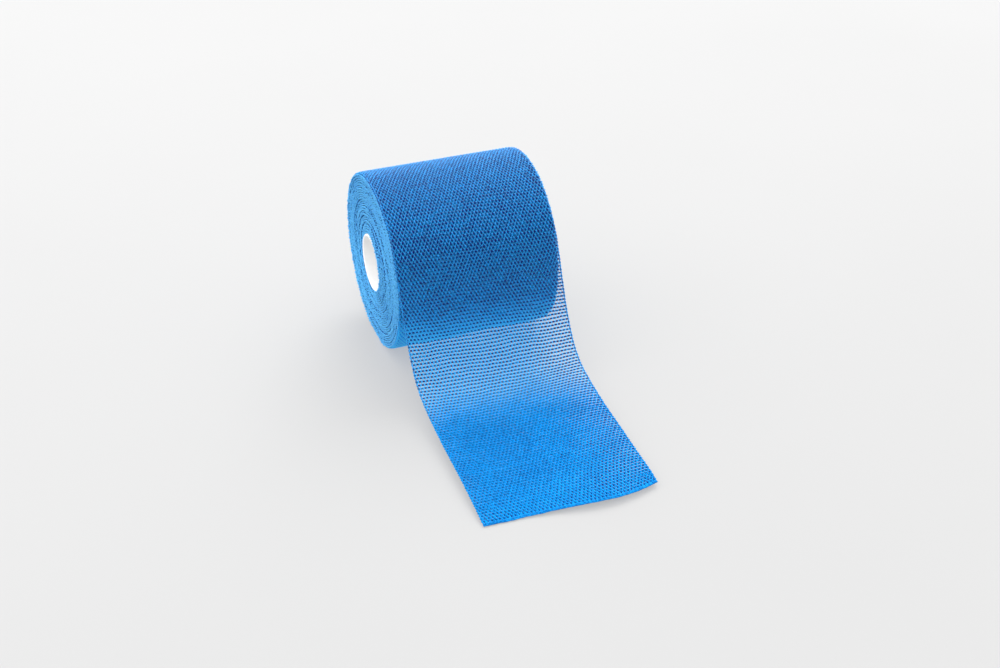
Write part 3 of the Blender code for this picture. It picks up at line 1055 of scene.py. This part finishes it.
reach = plus(loops, minus(loops, entry["Half width"], lies_back), swing)
reach = times(loops, reach, line_of(loops, on_right, 2.0, -1.0))
normal = vector_step(loops, "CROSS_PRODUCT", (1.0, 0.0, 0.0), sample["Tangent"])
sway = times(loops, calculate(loops, "SINE", phase), LOOP_SWING)
spot = vector_step(loops, "ADD", sample["Position"], scaled(loops, normal, sway))
spot = vector_step(loops, "ADD", spot, vector_of(loops, reach, 0.0, 0.0))
placed = first_of(loops, "GeometryNodeSetPosition", {"Geometry": edges["Geometry"], "Position": spot})
placed = keep_value(loops, placed, "facing", normal, "FLOAT_VECTOR")
spun = {"Geometry": placed, "Radius": entry["Radius"], "Density": LOOP_DENSITY, "Sides": LOOP_SIDES}
finish_shape(loops, use_group(loops, spin, spun)["Geometry"], entry["Material"], leave)

# %% The wound tape and its edge loops
# Painted sheen: the yarn on the roll's ends is a paler copy of the blue, for the sheen of its fibres.
EDGE_SHEEN_LIGHT = (0.160, 0.620, 1.000, 1.0)
EDGE_SHEEN_DEEP = (0.022, 0.210, 0.820, 1.0)
LOOP_RADIUS = 0.00030
wound_blue = yarn_material("wound yarn", LIGHT_BLUE, DEEP_BLUE)
edge_sheen_blue = yarn_material("edge yarn with painted sheen", EDGE_SHEEN_LIGHT, EDGE_SHEEN_DEEP)
WOUND_HALF_WIDTH = TAPE_WIDTH / 2 - LOOP_RADIUS
strip_sizes = {"Half width": WOUND_HALF_WIDTH, "Thickness": WOUND_THICKNESS, "Material": wound_blue}
wound_tape = grow("wound_tape", wound_path, strip, strip_sizes)
WOUND_ROWS = int(wound_reach[-1] / ROW_PITCH)
loop_sizes = {"Rows": WOUND_ROWS, "Row pitch": ROW_PITCH, "Half width": WOUND_HALF_WIDTH}
loop_sizes |= {"Radius": LOOP_RADIUS, "Material": edge_sheen_blue}
edge_loops = grow("edge_loops", wound_path, loops, loop_sizes)

# %% [markdown]
# The core is a plain white tube that stands out by 0.6 mm at both ends. It is turned: a profile with
# rounded edges is spun round the core's axis. Spinning a profile can leave the shape inside out, so
# its doubles are merged and its normals recalculated.

# %% The core
CORE_WALL = 0.0012
CORE_PROUD = 0.0006
CORE_SEGMENTS = 128
EDGE_STEPS = 6


def core_profile():
    """Points (x, radius) round the tube's wall, with a half round at each end."""
    middle = CORE_DIAMETER / 2 - CORE_WALL / 2
    half = TAPE_WIDTH / 2 + CORE_PROUD - CORE_WALL / 2
    points = []
    for end in (1, -1):
        for number in range(EDGE_STEPS + 1):
            turn = math.pi * number / EDGE_STEPS
            out, round_over = math.sin(turn) * CORE_WALL / 2, math.cos(turn) * CORE_WALL / 2
            points.append((end * (half + out), middle + end * round_over))
    return points


def turned_mesh(name, profile, segments):
    builder = bmesh.new()
    ring = [builder.verts.new((x, -radius, CORE_AXIS_Z)) for x, radius in profile]
    lines = [builder.edges.new((ring[number - 1], ring[number])) for number in range(len(ring))]
    bmesh.ops.spin(builder, geom=ring + lines, axis=(1, 0, 0), cent=(0, 0, CORE_AXIS_Z), dvec=(0, 0, 0),
                   angle=2 * math.pi, steps=segments, use_merge=True)
    bmesh.ops.remove_doubles(builder, verts=builder.verts, dist=0.00001)
    bmesh.ops.recalc_face_normals(builder, faces=builder.faces)
    mesh = bpy.data.meshes.new(name)
    builder.to_mesh(mesh)
    builder.free()
    mesh.shade_smooth()
    return mesh


core_tube = add_object("core", turned_mesh("core", core_profile(), CORE_SEGMENTS))
print("the core has", len(core_tube.data.polygons), "faces")

# %% [markdown]
# The core is smooth white plastic, and the floor is a white table that fills the view. In the
# photograph the table is nearly as bright as the light itself, and the shadows on it are faint. So
# the floor reflects only a part of the light and glows for the rest, a little less near the camera:
# the more it glows, the softer its shadows look.

# %% White core and pale floor
GRAIN_SHADE = 0.96
GRAIN_ROUGHNESS = 0.15


def plain_look(name, color, roughness, grain_scale, grain_depth):
    """A pale surface with a fine uneven grain."""
    material, tree, shader = start_material(name)
    here = add_node(tree, "ShaderNodeTexCoord").outputs["Object"]
    grain = noise_at(tree, here, grain_scale, 4.0)["Fac"]
    dimmer = tuple(value * GRAIN_SHADE for value in color[:3]) + (1.0,)
    mixed = mix_colors(tree, grain, color, dimmer)
    rough = line_of(tree, grain, GRAIN_ROUGHNESS, roughness)
    bump = first_of(tree, "ShaderNodeBump", {"Height": grain, "Distance": grain_depth})
    fill(tree, shader, {"Base Color": mixed, "Roughness": rough, "Normal": bump})
    return material


CORE_WHITE = (0.90, 0.90, 0.90, 1.0)
core_look = plain_look("white core", CORE_WHITE, roughness=0.40, grain_scale=1400.0, grain_depth=0.00003)
core_tube.data.materials.append(core_look)
FLOOR_GREY = (0.195, 0.195, 0.195, 1.0)
FLOOR_SIZE = 12.0
FLOOR_GLOW = 0.464
GLOW_FADE = (-0.45, 0.50)
GLOW_NEAR = (0.82, 0.82, 0.82, 1.0)
floor_mesh = bpy.data.meshes.new("floor")
edge = FLOOR_SIZE / 2
corners = [(-edge, -edge, 0), (edge, -edge, 0), (edge, edge, 0), (-edge, edge, 0)]
floor_mesh.from_pydata(corners, [], [(0, 1, 2, 3)])
floor = add_object("floor", floor_mesh)
pale_floor = plain_look("pale floor", FLOOR_GREY, roughness=0.80, grain_scale=3.0, grain_depth=0.0)
floor_tree = pale_floor.node_tree
floor_shader = floor_tree.nodes["Principled BSDF"]
floor_place = add_node(floor_tree, "ShaderNodeTexCoord").outputs["Object"]
depth = parts_of(floor_tree, floor_place)["Y"]
glow = mix_colors(floor_tree, smooth_share(floor_tree, depth, *GLOW_FADE), GLOW_NEAR, WHITE)
fill(floor_tree, floor_shader.inputs, {"Emission Color": glow, "Emission Strength": FLOOR_GLOW})
floor.data.materials.append(pale_floor)

# %% [markdown]
# Last, each piece is tied to the frame by the body it rides on, and the CAD solids that the pieces
# stand for are hidden.

# %% Tie the pieces to the frame
for piece in (loose_end, cut_end, *outer_turn, wound_tape, edge_loops):
    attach(piece, "root")
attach(core_tube, "root")
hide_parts("loose_end")
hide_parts("loose_end")
for piece in (*outer_turn, wound_tape, edge_loops):
    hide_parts("wound_roll")
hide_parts("core_tube")
